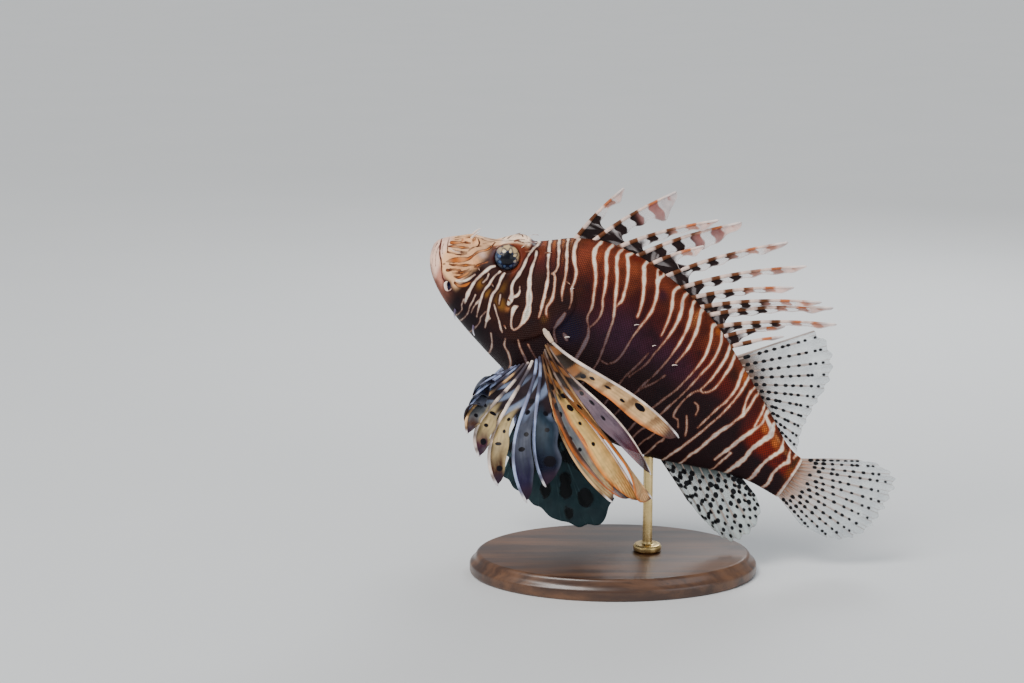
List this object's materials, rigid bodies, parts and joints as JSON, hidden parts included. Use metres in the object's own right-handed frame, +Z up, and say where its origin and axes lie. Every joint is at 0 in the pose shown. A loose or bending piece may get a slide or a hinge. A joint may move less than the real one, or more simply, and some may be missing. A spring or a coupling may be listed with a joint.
{
  "type": "red lionfish museum model on a stand",
  "caption": "Life-size red lionfish, striped, with spread fan-like breast fins and long back spines, hovering head-up on a short rod over an oval wooden foot",
  "frame": {"origin": "middle of the stand's underside, on the floor", "axes": "+Z up, -X the way the fish's head points, -Y the fish's left side, which the picture shows"},
  "size_m": [0.2638, 0.1354, 0.221],
  "materials": {
    "skin": "banded red-brown scaly skin with cream lines",
    "eye": "glossy black eye with a broken pale ring",
    "spines": "banded cream and brown spines with thin dark membrane",
    "breast_fin": "tan and orange vanes with black spots and dark tips",
    "hip_fin": "dark blue-green membrane with black blotches",
    "clear_fin": "thin see-through membrane with pale rays and rows of black spots",
    "stand_wood": "dark satin walnut",
    "stand_metal": "satin brass"
  },
  "bodies": {
    "root": {"head": "skin", "lower_jaw": "skin", "trunk": "skin", "tail": "skin", "eye_left": "eye", "eye_right": "eye", "brow_feeler_left": "skin", "brow_feeler_right": "skin", "back_fin_spiny": "spines", "back_fin_soft": "clear_fin", "anal_fin": "clear_fin", "tail_fin": "clear_fin", "hip_fin_left": "hip_fin", "hip_fin_right": "hip_fin", "breast_fin_rear_left": "breast_fin", "breast_fin_rear_right": "breast_fin", "breast_fin_front_left": "breast_fin", "breast_fin_front_right": "breast_fin", "stand_foot": "stand_wood", "stand_rod": "stand_metal"}
  },
  "joints": []
}
